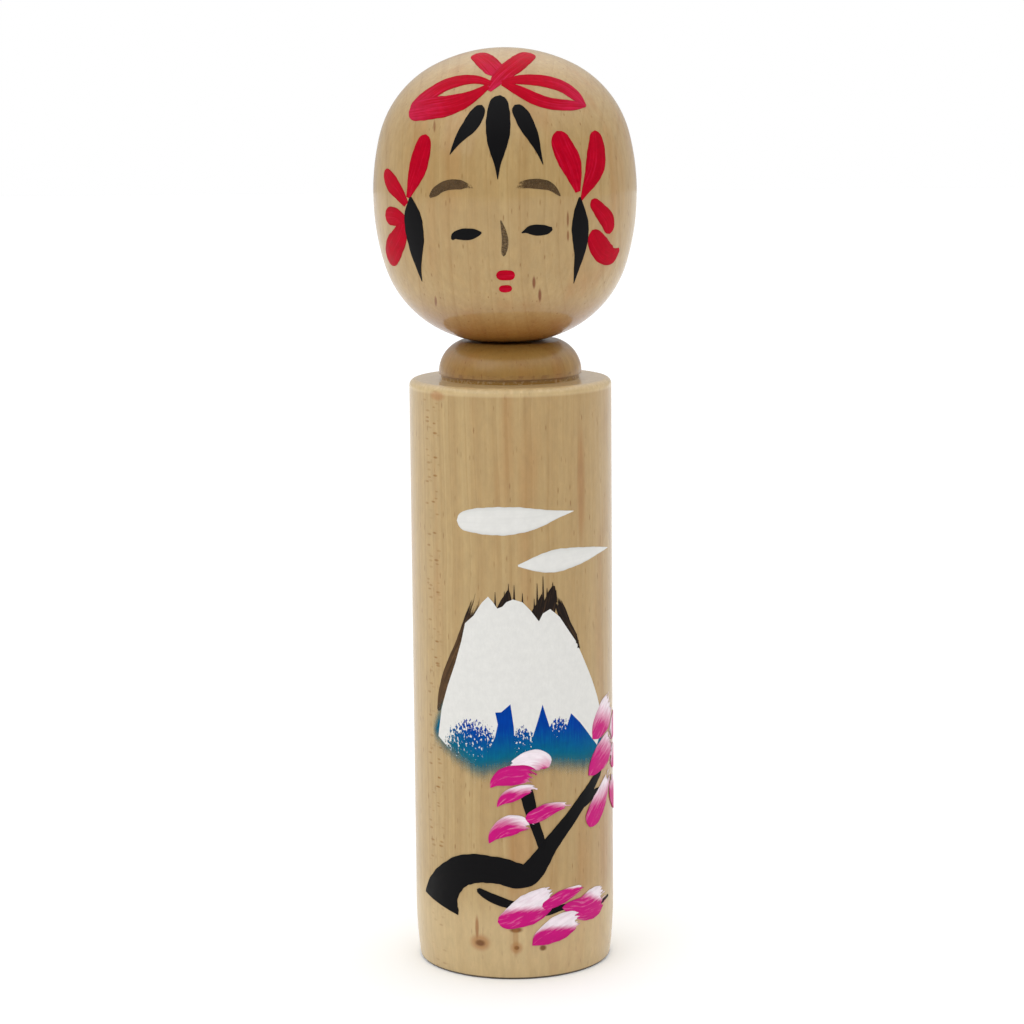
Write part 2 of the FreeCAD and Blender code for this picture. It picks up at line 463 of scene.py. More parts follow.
    @staticmethod
    def _write(
        film: bpy.types.Object,
        along: np.ndarray,
        across: np.ndarray,
        seed: float,
        second: np.ndarray,
        dryness: np.ndarray,
        edge: np.ndarray,
    ) -> None:
        """Writes the attributes that the paints read.

        Args:
            film: The film.
            along: Length along the brush's way, for each vertex.
            across: Length across it.
            seed: A number that sets this stroke's hairs apart from the others'.
            second: Share of the second colour.
            dryness: From 0, wet, to 1, bare.
            edge: From 0 in the middle to 1 at the edge.
        """
        rows = {
            "brush": (along, across, np.full_like(along, seed)),
            "state": (second, dryness, edge),
        }
        for name, columns in rows.items():
            attribute = film.data.attributes.new(name, "FLOAT_VECTOR", "POINT")
            attribute.data.foreach_set("vector", np.stack(columns, axis=1).ravel())

    def _finish(
        self, name: str, parts: Sequence[bpy.types.Object], finish: "Paint"
    ) -> bpy.types.Object:
        """Joins the films, gives them their thickness, dresses them and lets them ride.

        Args:
            name: The piece's name.
            parts: The films' tops.
            finish: The paint.

        Returns:
            The finished piece.
        """
        bpy.ops.object.select_all(action="DESELECT")
        for part in parts:
            part.select_set(True)
        piece = parts[0]
        bpy.context.view_layer.objects.active = piece
        if len(parts) > 1:
            bpy.ops.object.join()
        piece.name = piece.data.name = name
        wall = piece.modifiers.new("thickness", "SOLIDIFY")
        wall.thickness = self.DEPTH * MM
        wall.offset = -1
        bpy.ops.object.modifier_apply(modifier=wall.name)
        bpy.ops.object.shade_smooth_by_angle(angle=self.EDGE_ANGLE)
        piece.data.materials.clear()
        piece.data.materials.append(finish.material())
        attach(piece, self.body)
        LOG.info("%s: %d faces of %s", name, len(piece.data.polygons), finish.name)
        return piece


def smooth_curve(knots: np.ndarray, values: np.ndarray, places: np.ndarray) -> np.ndarray:
    """Runs a smooth curve through values at knots (Catmull and Rom's tangents).

    Args:
        knots: Rising places of the values.
        values: The values there.
        places: Where to read the curve.

    Returns:
        The curve's values at the places, running on in a straight line past its ends.
    """
    slopes = np.gradient(values, knots)
    leg = np.clip(np.searchsorted(knots, places) - 1, 0, len(knots) - 2)
    width = knots[leg + 1] - knots[leg]
    t = (np.clip(places, knots[0], knots[-1]) - knots[leg]) / width
    inside = (
        (2 * t**3 - 3 * t**2 + 1) * values[leg]
        + (t**3 - 2 * t**2 + t) * width * slopes[leg]
        + (3 * t**2 - 2 * t**3) * values[leg + 1]
        + (t**3 - t**2) * width * slopes[leg + 1]
    )
    before = np.minimum(places - knots[0], 0) * slopes[0]
    after = np.maximum(places - knots[-1], 0) * slopes[-1]
    return inside + before + after


def distance_to_outline(points: np.ndarray, outline: np.ndarray) -> np.ndarray:
    """Distance of each point from a closed outline.

    Args:
        points: Rows of (across, up).
        outline: The outline's corners.

    Returns:
        One distance for each point.
    """
    best = np.full(len(points), np.inf)
    for here, there in zip(outline, np.roll(outline, -1, axis=0)):
        leg = there - here
        share = np.clip((points - here) @ leg / (leg @ leg), 0, 1)
        gap = points - (here + share[:, None] * leg)
        best = np.minimum(best, np.hypot(gap[:, 0], gap[:, 1]))
    return best


# ---------------------------------------------------------------------------------------
# Finishes
# ---------------------------------------------------------------------------------------


@dataclass(frozen=True)
class Paint:
    """Brushed water-based doll paint under thin varnish.

    The hairs of the brush leave fine lines along the stroke, in colour, in cover and as
    small ridges; hair holds their length and width in millimetres. Cover is how much of
    the wood a wet stroke hides, soft is how gradually a dry one lets go of it and ragged
    how unevenly. Fray is how unevenly the second colour comes in.
    """

    name: str
    slot: str
    first: str
    second: str
    hair: tuple[float, float] = (9.0, 0.32)
    streaks: float = 0.35
    fray: float = 0.7
    cover: float = 1.0
    soft: float = 0.12
    ragged: float = 3.0
    roughness: float = 0.42
    shine: float = 0.3
    ridge: float = 0.01

    def material(self) -> bpy.types.Material:
        """Builds the paint's material, once.

        Returns:
            The material, with its colours, cover and ridges from the film's attributes.
        """
        if self.name in bpy.data.materials:
            return bpy.data.materials[self.name]
        material, tree = new_material(self.name)
        brush = add_node(tree, "Attribute", out="Vector", attribute_name="brush")
        state = add_node(tree, "Attribute", out="Vector", attribute_name="state")
        second, dryness, edge = add_node(tree, "SeparateXYZ", [state]).node.outputs
        per_hair = (1 / self.hair[0], 1 / self.hair[1], 1.0)
        hairs = add_node(tree, "VectorMath", [brush, per_hair], operation="MULTIPLY")
        streak = add_node(
            tree, "TexNoise", {"Vector": hairs, "Scale": 1.0, "Detail": 3.0, "Roughness": 0.6}
        )
        mottle = add_node(tree, "TexNoise", {"Vector": brush, "Scale": 0.7, "Detail": 3.0})
        swing = add_node(tree, "Math", [streak, 0.5], operation="SUBTRACT")
        # The second colour comes in hair by hair.
        share = add_node(tree, "Math", [swing, self.fray, second], operation="MULTIPLY_ADD")
        blend = add_node(tree, "MapRange", [share, 0.04, 0.96])
        colours = {0: blend, 6: linear(self.first), 7: linear(self.second)}
        colour = add_node(tree, "Mix", colours, out=2, data_type="RGBA")
        # Paint pools along the stroke's edge and thins between the hairs.
        uneven = add_node(tree, "Math", [streak, mottle], operation="MULTIPLY")
        depth = add_node(
            tree, "MapRange", [uneven, 0.12, 0.42, 1 - 0.5 * self.streaks, 1 + 0.25 * self.streaks]
        )
        pool = add_node(tree, "MapRange", [edge, 0.7, 1.0, 1.0, 0.88])
        pooled = add_node(tree, "Math", [depth, pool], operation="MULTIPLY")
        shaded = add_node(tree, "HueSaturation", {"Value": pooled, "Color": colour})
        # Where the brush ran dry, the paint breaks up between its hairs.
        parting = add_node(tree, "Math", [swing, self.ragged, 1.0], operation="MULTIPLY_ADD")
        bare = add_node(tree, "Math", [dryness, parting], operation="MULTIPLY")
        letting_go = [bare, 0.5 - self.soft, 0.5 + self.soft, 1.0, 0.0]
        hold = add_node(tree, "MapRange", letting_go, interpolation_type="SMOOTHSTEP")
        lack = 1 - self.cover
        thin = add_node(tree, "MapRange", [streak, 0.3, 0.6, 1 - lack * 1.6, 1 - lack * 0.5])
        alpha = add_node(tree, "Math", [hold, thin], operation="MULTIPLY")
        relief = add_node(
            tree, "Bump", {"Strength": 0.5, "Distance": self.ridge * MM, "Height": streak}
        )
        gloss = add_node(
            tree, "MapRange", [mottle, 0.3, 0.7, self.roughness - 0.06, self.roughness + 0.08]
        )
        shader = add_node(
            tree,
            "BsdfPrincipled",
            {
                "Base Color": shaded, "Roughness": gloss, "IOR": VARNISH_IOR,
                "Specular IOR Level": self.shine, "Alpha": alpha, "Normal": relief,
            },
        )
        add_node(tree, "OutputMaterial", {"Surface": shader})
        return material


@dataclass(frozen=True)
class Mark:
    """A small mark in the wood, such as a knot or a mineral fleck: middle and half sizes.

    It runs into the wood by its depth, so that it keeps its height where the face slopes.
    """

    at: tuple[float, float, float]
    half_width: float
    half_height: float
    strength: float
    colour: str
    depth: float = 5.0


@dataclass(frozen=True)
class Band:
    """A ring round the piece at one height: a broad paler zone, a fine line, or specks.

    A speck is a fleck's size in the ring, and none leaves the ring whole.
    """

    height: float
    half_height: float
    colour: str
    strength: float
    speck: float = 0.0


@dataclass(frozen=True)
class TurnedWood:
    """Pale maple, turned on the lathe and sealed with clear satin varnish.

    Solid grain: growth rings round a pith that lies outside the piece, fine fibres along
    the height, short pores, and a ladder of ray flecks where the rings meet the surface
    square on. The varnish gives a broad soft sheen, brighter towards the edges. The shade
    underneath is how far the faces that look down are darkened to brown: painted shade.
    """

    name: str
    pith: tuple[float, float]
    pale: str = "#C0A571"
    deep: str = "#A68451"
    line: str = "#8D6229"
    warm: str = "#A86F30"
    pore: str = "#80501C"
    fleck: str = "#94682A"
    underside_shade_tint: str = "#C09450"
    ring: float = 2.6
    fleck_side: tuple[float, float] = (0.643, -0.766)
    fleck_strength: float = 0.0
    drift: float = 2.4
    sheen: float = 0.6
    polish: float = 0.1
    shade_underneath: float = 0.0
    marks: tuple[Mark, ...] = ()
    bands: tuple[Band, ...] = ()

    def material(self) -> bpy.types.Material:
        """Builds the wood's material.

        Returns:
            The material, on Object coordinates.
        """
        material, tree = new_material(self.name)
        metres = add_node(tree, "TexCoord", out="Object")
        place = add_node(tree, "VectorMath", {0: metres, 3: 1 / MM}, operation="SCALE")
        stretched = add_node(tree, "VectorMath", [place, (1.5, 1.5, 0.045)], operation="MULTIPLY")
        fibre = add_node(
            tree, "TexNoise", {"Vector": stretched, "Scale": 1.0, "Detail": 5.0, "Roughness": 0.68}
        )
        colour = self._rings(tree, place, fibre)
        colour = self._heartwood(tree, place, colour)
        colour = self._pores(tree, place, colour)
        if self.fleck_strength:
            colour = self._rays(tree, place, colour)
        for band in self.bands:
            colour = self._band(tree, place, band, colour)
        for mark in self.marks:
            colour = self._mark(tree, place, mark, colour)
        # Painted shade: the faces that look down are darkened to brown.
        if self.shade_underneath:
            colour = self._paint_underside_shade(tree, colour)
        flattened = add_node(tree, "VectorMath", [place, (1.0, 1.0, 0.4)], operation="MULTIPLY")
        cloudy = add_node(
            tree, "TexNoise", {"Vector": flattened, "Scale": 0.8, "Detail": 4.0, "Roughness": 0.7}
        )
        cloud_value = add_node(tree, "MapRange", [cloudy, 0.3, 0.7, 0.93, 1.07])
        colour = add_node(tree, "HueSaturation", {"Value": cloud_value, "Color": colour})
        # The tool left rings about half a millimetre apart, and the fibres stand a little proud.
        height = add_node(tree, "SeparateXYZ", [place], out=2)
        tool = add_node(
            tree, "TexNoise", {"W": height, "Scale": 1.7, "Detail": 3.0}, noise_dimensions="1D"
        )
        tool_rings = add_node(tree, "Bump", {"Strength": 0.25, "Distance": 0.012 * MM, "Height": tool})
        fibres = {"Strength": 0.35, "Distance": 0.015 * MM, "Height": fibre, "Normal": tool_rings}
        relief = add_node(tree, "Bump", fibres)
        satin = add_node(tree, "MapRange", [fibre, 0.3, 0.7, 0.42, 0.55])
        shader = add_node(
            tree,
            "BsdfPrincipled",
            {
                "Base Color": colour, "Roughness": satin, "IOR": VARNISH_IOR,
                "Specular IOR Level": 0.25, "Normal": relief, "Coat Weight": self.sheen,
                "Coat Roughness": self.polish, "Coat Normal": tool_rings,
            },
        )
        add_node(tree, "OutputMaterial", {"Surface": shader})
        return material

    def _rings(self, tree: Tree, place: Socket, fibre: Socket) -> Socket:
        """Makes the growth rings: pale early wood, deeper late wood and a fine dark line.

        Args:
            tree: The material's tree.
            place: The place in millimetres.
            fibre: The fibres' noise.

        Returns:
            The wood's ground colour.
        """
        drift = add_node(tree, "TexNoise", {"Vector": place, "Scale": 0.035, "Detail": 2.0}, out=1)
        swing = (self.drift, self.drift, 0.0)
        pushed = add_node(tree, "VectorMath", [drift, swing, place], operation="MULTIPLY_ADD")
        pith = (self.pith[0] + self.drift / 2, self.pith[1] + self.drift / 2, 0.0)
        from_pith = add_node(tree, "VectorMath", [pushed, pith], operation="SUBTRACT")
        level = add_node(tree, "VectorMath", [from_pith, (1.0, 1.0, 0.015)], operation="MULTIPLY")
        distance = add_node(tree, "VectorMath", [level], out=1, operation="LENGTH")
        years = add_node(tree, "Math", [distance, self.ring], operation="DIVIDE")
        seasons = {"W": years, "Scale": 1.0, "Detail": 2.0, "Roughness": 0.55}
        season = add_node(tree, "TexNoise", seasons, noise_dimensions="1D")
        uneven = add_node(tree, "Math", [season, 1.3, years], operation="MULTIPLY_ADD")
        phase = add_node(tree, "Math", [uneven], operation="FRACT")
        late = add_node(tree, "MapRange", [phase, 0.7, 1.0, 0.0, 0.2], interpolation_type="SMOOTHSTEP")
        broad = add_node(tree, "MapRange", [distance, 24.0, 50.0, -0.16, 0.2])
        grain = add_node(tree, "Math", [fibre, season], operation="ADD")
        total = add_node(tree, "Math", [grain, 0.9, broad], operation="MULTIPLY_ADD")
        tone = add_node(tree, "MapRange", [total, 0.3, 1.6])
        ground = add_node(
            tree, "Mix", {0: tone, 6: linear(self.pale), 7: linear(self.deep)}, out=2, data_type="RGBA"
        )
        return self._tint(tree, late, ground, self.line)

    def _heartwood(self, tree: Tree, place: Socket, colour: Socket) -> Socket:
        """Adds broad warm streaks that run up the piece.

        Args:
            tree: The material's tree.
            place: The place in millimetres.
            colour: The colour so far.

        Returns:
            The colour with streaks.
        """
        streamed = add_node(tree, "VectorMath", [place, (0.16, 0.16, 0.018)], operation="MULTIPLY")
        heart = add_node(tree, "TexNoise", {"Vector": streamed, "Scale": 1.0, "Detail": 2.0})
        warmth = add_node(
            tree, "MapRange", [heart, 0.5, 0.75, 0.0, 0.4], interpolation_type="SMOOTHSTEP"
        )
        return self._tint(tree, warmth, colour, self.warm)

    def _pores(self, tree: Tree, place: Socket, colour: Socket) -> Socket:
        """Adds short dark pores along the grain, about 0.3 mm wide and 1 mm long.

        Args:
            tree: The material's tree.
            place: The place in millimetres.
            colour: The colour so far.

        Returns:
            The colour with pores.
        """
        cells = add_node(tree, "VectorMath", [place, (1.3, 1.3, 0.3)], operation="MULTIPLY")
        pores = add_node(tree, "TexVoronoi", {"Vector": cells, "Scale": 1.0}).node.outputs
        near = add_node(tree, "MapRange", [pores["Distance"], 0.1, 0.24, 1, 0])
        chance = add_node(tree, "SeparateColor", [pores["Color"]])
        kept = add_node(tree, "MapRange", [chance, 0.4, 1.0, 0.0, 0.65])
        share = add_node(tree, "Math", [near, kept], operation="MULTIPLY")
        return self._tint(tree, share, colour, self.pore)

    def _rays(self, tree: Tree, place: Socket, colour: Socket) -> Socket:
        """Adds the ladder of ray flecks, each about 1.5 mm wide and 0.5 mm high.

        Args:
            tree: The material's tree.
            place: The place in millimetres.
            colour: The colour so far.

        Returns:
            The colour with flecks.
        """
        facing = (*self.fleck_side, 0.0)
        side = add_node(tree, "VectorMath", [place, facing], out=1, operation="DOT_PRODUCT")
        away = add_node(tree, "Math", [side], operation="ABSOLUTE")
        column = add_node(tree, "MapRange", [away, 0.6, 3.4, 1.0, 0.0], interpolation_type="SMOOTHSTEP")
        cells = add_node(tree, "VectorMath", [place, (0.45, 0.45, 1.25)], operation="MULTIPLY")
        rungs = add_node(tree, "TexVoronoi", {"Vector": cells, "Scale": 1.0}).node.outputs
        rung = add_node(
            tree, "MapRange", [rungs["Distance"], 0.16, 0.38, 1, 0], interpolation_type="SMOOTHSTEP"
        )
        chance = add_node(tree, "SeparateColor", [rungs["Color"]], out=1)
        kept = add_node(tree, "MapRange", [chance, 0.3, 0.8, 0.0, self.fleck_strength])
        some = add_node(tree, "Math", [rung, kept], operation="MULTIPLY")
        share = add_node(tree, "Math", [some, column], operation="MULTIPLY")
        return self._tint(tree, share, colour, self.fleck)

    def _paint_underside_shade(self, tree: Tree, colour: Socket) -> Socket:
        """Darkens the faces that look down toward a brown tint: painted shade under the piece.

        Args:
            tree: The material's tree.
            colour: The colour so far.

        Returns:
            The colour with its stain.
        """
        normal = add_node(tree, "NewGeometry", out="Normal")
        facing = add_node(tree, "SeparateXYZ", [normal], out=2)
        share = add_node(
            tree, "MapRange", [facing, -0.95, -0.45, self.shade_underneath, 0], interpolation_type="SMOOTHSTEP"
        )
        parts = {0: share, 6: colour, 7: linear(self.underside_shade_tint)}
        return add_node(tree, "Mix", parts, out=2, data_type="RGBA", blend_type="MULTIPLY")

    def _band(self, tree: Tree, place: Socket, band: Band, colour: Socket) -> Socket:
        """Adds one ring.

        Args:
            tree: The material's tree.
            place: The place in millimetres.
            band: The ring.
            colour: The colour so far.

        Returns:
            The colour with the ring.
        """
        height = add_node(tree, "SeparateXYZ", [place], out=2)
        offset = add_node(tree, "Math", [height, band.height], operation="SUBTRACT")
        away = add_node(tree, "Math", [offset], operation="ABSOLUTE")
        fading = [away, 0.5 * band.half_height, band.half_height, band.strength, 0.0]
        share = add_node(tree, "MapRange", fading, interpolation_type="SMOOTHSTEP")
        if band.speck:
            noise = add_node(
                tree, "TexNoise", {"Vector": place, "Scale": 1 / band.speck, "Detail": 2.0}
            )
            broken = add_node(tree, "MapRange", [noise, 0.5, 0.62])
            share = add_node(tree, "Math", [share, broken], operation="MULTIPLY")
        return self._tint(tree, share, colour, band.colour)

    def _mark(self, tree: Tree, place: Socket, mark: Mark, colour: Socket) -> Socket:
        """Adds one mark.

        Args:
            tree: The material's tree.
            place: The place in millimetres.
            mark: The mark.
            colour: The colour so far.

        Returns:
            The colour with the mark.
        """
        offset = add_node(tree, "VectorMath", [place, mark.at], operation="SUBTRACT")
        sizes = (1 / mark.half_width, 1 / mark.depth, 1 / mark.half_height)
        scaled = add_node(tree, "VectorMath", [offset, sizes], operation="MULTIPLY")
        away = add_node(tree, "VectorMath", [scaled], out=1, operation="LENGTH")
        share = add_node(
            tree, "MapRange", [away, 0.4, 1.0, mark.strength, 0.0], interpolation_type="SMOOTHSTEP"
        )
        return self._tint(tree, share, colour, mark.colour)

    @staticmethod
    def _tint(tree: Tree, share: Socket, colour: Socket, tint: str) -> Socket:
        """Mixes a share of another colour into the colour so far, and returns the result."""
        parts = {0: share, 6: colour, 7: linear(tint)}
        return add_node(tree, "Mix", parts, out=2, data_type="RGBA")


# Crimson doll red: strong, a little pink where the brush left it thin.
CRIMSON = Paint(
    "crimson_doll_paint", "crimson_paint", "#B80222", "#D6386A", streaks=0.35, fray=0.9, shine=0.03
)
# Black doll paint: dense, with the faintest sheen.
BLACK = Paint("black_doll_paint", "black_paint", "#0C0B0D", "#161418", streaks=0.2, shine=0.08)
# Diluted black for the brows: the grain shows through it.
DILUTED = Paint(
    "diluted_ink",
    "black_paint",
    "#563F22",
    "#332410",
    hair=(0.35, 0.5),
    streaks=0.9,
    cover=0.78,
    soft=0.3,
)
# The same ink thinned again for the nose.
THINNED = replace(DILUTED, name="thinned_ink", cover=0.62)
# White gouache: opaque and chalky, nearly matt.
WHITE = Paint(
    "white_gouache",
    "white_paint",
    "#E4E3DF",
    "#DCDAD6",
    hair=(14.0, 0.6),
    streaks=0.1,
    roughness=0.6,
    shine=0.2,
    ridge=0.02,
)
# The same white dragged nearly dry over the blue: it breaks into small flakes.
DRAGGED_WHITE = replace(
    WHITE, name="dragged_white_gouache", hair=(0.75, 0.46), soft=0.05, ragged=4.0, ridge=0.015
)
# Thin blue wash: royal blue that turns to teal where it fades into the wood.
BLUE = Paint(
    "blue_wash",
    "blue_paint",
    "#003E9E",
    "#0A7480",
    hair=(4.5, 0.3),
    streaks=0.3,
    fray=0.5,
    soft=0.4,
    ragged=0.7,
    roughness=0.55,
    shine=0.04,
)
# Blossom: a brush loaded with magenta on one side and white on the other.
BLOSSOM = Paint(
    "two_tone_blossom_paint",
    "blossom_paint",
    "#CA087A",
    "#F6EAF1",
    hair=(3.4, 0.46),
    streaks=0.2,
    fray=0.85,
    soft=0.06,
    ragged=4.0,
    roughness=0.5,
    shine=0.15,
)
# Dark brown drawn with a stiff, nearly dry brush.
UMBER = Paint(
    "umber_dry_brush",
    "umber_paint",
    "#20150F",
    "#5C4228",
    hair=(7.0, 0.26),
    streaks=0.7,
    fray=2.4,
    soft=0.15,
    roughness=0.6,
    shine=0.15,
)


# ---------------------------------------------------------------------------------------
# The doll
# ---------------------------------------------------------------------------------------


@dataclass
class Head:
    """The turning head: varnished wood, hair, hair ribbons and a quiet face."""

    node: str = "head"
    body: str = "turning_head"
    # The neck's axis, the height of the front's middle, the radius of the curve there,
    # and that of the seat under it.
    axis_x: float = -0.7
    middle: float = 153.8
    reach: float = 27.0
    seat_radius: float = 7.2
    fleck_colour: str = "#7C4410"

    def __post_init__(self) -> None:
        """Reads the head's surface."""
        self.surface = HeadSurface(
            self.node, self.axis_x, self.seat_radius, self.middle, self.middle, self.reach
        )

    def build(self) -> None:
        """Dresses the wood and paints the face and hair."""
        # The faces under the head are darkened to brown: painted shade.
        wood = TurnedWood(
            "turned_maple_head", pith=(-88.0, -6.0), ring=3.4, shade_underneath=0.9, marks=self.flecks()
        )
        bpy.data.objects[self.node].material_slots[0].material = wood.material()
        painter = Painter(self.surface, self.body)
        self.paint_ribbons(painter)
        self.paint_hair(painter)
        self.paint_face(painter)

    def flecks(self) -> tuple[Mark, ...]:
        """The small brown mineral flecks on the cheeks and brow."""
        places = [
            (5.7, -16.4, 0.42, 1.6, 1.0),
            (6.9, -19.2, 0.42, 1.8, 1.0),
            (-14.8, -21.9, 0.34, 1.5, 0.8),
            (13.0, -4.2, 0.3, 2.0, 0.8),
            (13.0, -7.6, 0.3, 1.4, 0.8),
            (-14.2, 14.9, 0.3, 1.5, 0.7),
        ]
        return tuple(
            Mark(tuple(self.surface.point(across, up, 0) / MM), wide, high, strength, self.fleck_colour)
            for across, up, wide, high, strength in places
        )

    def paint_ribbons(self, painter: Painter) -> None:
        """Paints the crown bow and the bows at both temples."""
        # The crown's strokes turn pinker towards their ends, as the brush empties.
        emptying = {"turn": 1.15, "blend": 1.9}
        crown = [
            pull((-6.9, 35.4, 4.2), (-3.3, 29.6, 4.9), (-0.9, 25.5, 3.8), end=Tip.ROUND, **emptying),
            pull(
                (6.9, 35.4, 4.2), (2.7, 29.1, 4.8), (-0.5, 25.1, 3.6), (-2.9, 21.5, 1.0), end=Tip.CUT,
                **emptying,
            ),
            pull(
                (-2.4, 23.2, 1.2), (-6.0, 24.6, 2.3), (-9.4, 24.7, 3.1), (-12.8, 24.0, 3.5),
                (-15.8, 22.5, 3.8), (-18.6, 20.6, 4.0), (-20.6, 18.6, 3.4), start=Tip.POINT,
                end=Tip.ROUND, **emptying,
            ),
            pull(
                (-3.1, 22.6, 1.2), (-5.8, 20.7, 2.5), (-8.5, 19.5, 3.8), (-11.7, 18.9, 4.7),
                (-15.3, 18.9, 5.0), (-18.6, 19.0, 5.0), (-21.4, 19.2, 4.0), start=Tip.POINT,
                end=Tip.ROUND, **emptying,
            ),
            pull(
                (-0.3, 23.4, 1.0), (2.6, 24.1, 2.2), (5.8, 24.4, 2.9), (9.5, 24.2, 3.3),
                (12.9, 23.3, 3.3), (15.7, 21.5, 2.8), (17.8, 19.5, 0.4), start=Tip.POINT, **emptying,
            ),
            pull(
                (-0.2, 23.2, 1.0), (2.9, 21.6, 2.3), (5.5, 20.2, 2.7), (8.6, 19.1, 2.6),
                (11.8, 18.9, 2.5), (15.4, 19.2, 1.9), (17.8, 19.4, 0.3), start=Tip.POINT, **emptying,
            ),
        ]
        left = [
            pull((-16.2, 13.4, 2.6), (-17.3, 10.0, 4.3), (-18.4, 6.9, 4.6), (-21.2, 0.2, 1.1)),
            pull((-29.6, 6.6, 2.4), (-27.0, 3.7, 4.4), (-24.4, 1.4, 3.5), (-21.8, -1.3, 1.6)),
            pull((-21.6, -6.0, 2.4), (-25.0, -4.5, 4.2), (-29.6, -4.6, 4.4), end=Tip.ROUND),
            pull(
                (-22.6, -5.8, 2.8), (-24.6, -9.4, 5.2), (-27.0, -12.6, 6.2), (-29.0, -16.8, 4.6),
                end=Tip.ROUND,
            ),
        ]
        right = [
            pull((10.6, 13.4, 3.0), (12.1, 10.1, 4.7), (13.6, 7.4, 4.9), (15.4, 1.3, 1.2)),
            pull((19.7, 14.3, 2.6), (20.2, 10.8, 4.6), (20.0, 7.5, 5.2), (16.2, -0.4, 0.5)),
            pull(
                (18.7, -0.5, 2.0), (21.2, -3.1, 3.5), (23.5, -5.8, 4.1), (24.0, -8.6, 2.8),
                end=Tip.ROUND,
            ),
            pull(
                (18.9, -7.0, 2.6), (20.3, -10.0, 5.0), (22.4, -12.6, 5.2), (25.0, -13.9, 4.2),
                (27.8, -13.2, 0.9),
            ),
        ]
        painter.strokes("crown_bow", crown, CRIMSON)
        painter.strokes("left_temple_bow", left, CRIMSON)
        painter.strokes("right_temple_bow", right, CRIMSON)

    def paint_hair(self, painter: Painter) -> None:
        """Paints the forelock's three leaves and the two side locks."""
        forelock = [
            pull(
                (-0.6, 20.4, 2.6), (-0.9, 18.1, 4.0), (-1.0, 14.9, 4.8), (-1.1, 11.8, 4.3),
                (-1.2, 9.2, 2.9), (-1.2, 6.9, 1.3), (-1.2, 4.0, 0.1),
            ),
            pull(
                (-4.2, 18.4, 1.8), (-5.3, 16.3, 3.0), (-6.4, 14.6, 3.1), (-8.1, 12.8, 2.2),
                (-9.6, 10.9, 1.1), (-10.8, 9.0, 0.1),
            ),
            pull(
                (2.2, 18.3, 2.0), (3.7, 16.0, 3.1), (4.8, 13.9, 3.0), (5.9, 11.8, 2.2), (6.8, 9.6, 1.1),
                (7.8, 6.8, 0.1),
            ),
        ]
        left = pull(
            (-20.5, 0.4, 0.5), (-20.2, -2.9, 4.1), (-19.8, -5.9, 5.0), (-19.4, -8.6, 4.7),
            (-19.1, -11.8, 3.2), (-18.6, -14.6, 1.5), (-17.8, -17.8, 0.1), start=Tip.POINT,
        )
        right = pull(
            (15.8, 0.2, 0.4), (15.8, -2.9, 2.8), (15.9, -5.7, 4.0), (15.9, -8.4, 3.8),
            (15.6, -11.6, 2.5), (14.9, -14.5, 1.3), (14.2, -17.7, 0.1), start=Tip.POINT,
        )
        painter.strokes("forelock", forelock, BLACK, layer=1)
        painter.strokes("left_side_lock", [left], BLACK, layer=1)
        painter.strokes("right_side_lock", [right], BLACK, layer=1)

    def paint_face(self, painter: Painter) -> None:
        """Paints brows, eyes, nose and mouth."""
        left_brow = pull(
            (-15.5, 0.5, 0.5), (-14.4, 1.4, 1.7), (-13.1, 2.3, 1.9), (-11.6, 2.9, 2.0),
            (-9.9, 3.1, 2.0), (-8.5, 3.0, 1.8), (-7.6, 2.9, 1.1), (-6.5, 2.6, 0.6), (-5.4, 2.3, 0.2),
            start=Tip.POINT, end=Tip.BRISTLES, dry=0.3,
        )
        right_brow = pull(
            (2.0, 2.3, 0.4), (2.8, 2.7, 1.1), (4.1, 3.0, 1.5), (5.7, 3.1, 1.9), (7.2, 3.0, 2.0),
            (8.8, 2.7, 1.8), (9.9, 2.1, 1.4), (10.8, 1.2, 0.8), (11.4, 0.6, 0.2), start=Tip.BRISTLES,
            dry=0.3,
        )
        left_eye = pull(
            (-10.6, -8.0, 0.5), (-10.1, -7.3, 1.4), (-8.8, -6.9, 2.1), (-7.2, -6.8, 2.3),
            (-5.8, -6.6, 1.8), (-5.0, -6.5, 1.0), (-4.5, -6.4, 0.3), start=Tip.CUT,
        )
        right_eye = pull(
            (3.4, -6.5, 0.2), (4.1, -6.2, 0.7), (4.8, -6.0, 1.5), (6.0, -6.0, 2.1), (7.5, -6.1, 2.1),
            (8.7, -6.1, 1.6), (9.6, -5.9, 0.6), start=Tip.POINT,
        )
        nose = pull(
            (-0.7, -4.0, 0.2), (-0.4, -5.0, 0.6), (-0.1, -6.2, 1.0), (0.1, -7.5, 1.2), (0.1, -8.8, 1.3),
            (-0.1, -10.0, 1.1), (-0.2, -11.0, 0.6), start=Tip.POINT, end=Tip.ROUND,
        )
        upper_lip = pull((-1.7, -14.7, 1.7), (0.2, -14.7, 2.0), (2.0, -14.7, 1.7), end=Tip.ROUND)
        lower_lip = pull((-1.2, -17.4, 1.2), (0.1, -17.4, 1.5), (1.4, -17.3, 1.2), end=Tip.ROUND)
        for name, stroke, finish in (
            ("left_brow", left_brow, DILUTED),
            ("right_brow", right_brow, DILUTED),
            ("left_eye", left_eye, BLACK),
            ("right_eye", right_eye, BLACK),
            ("nose_line", nose, THINNED),
            ("upper_lip", upper_lip, CRIMSON),
            ("lower_lip", lower_lip, CRIMSON),
        ):
            painter.strokes(name, [stroke], finish)


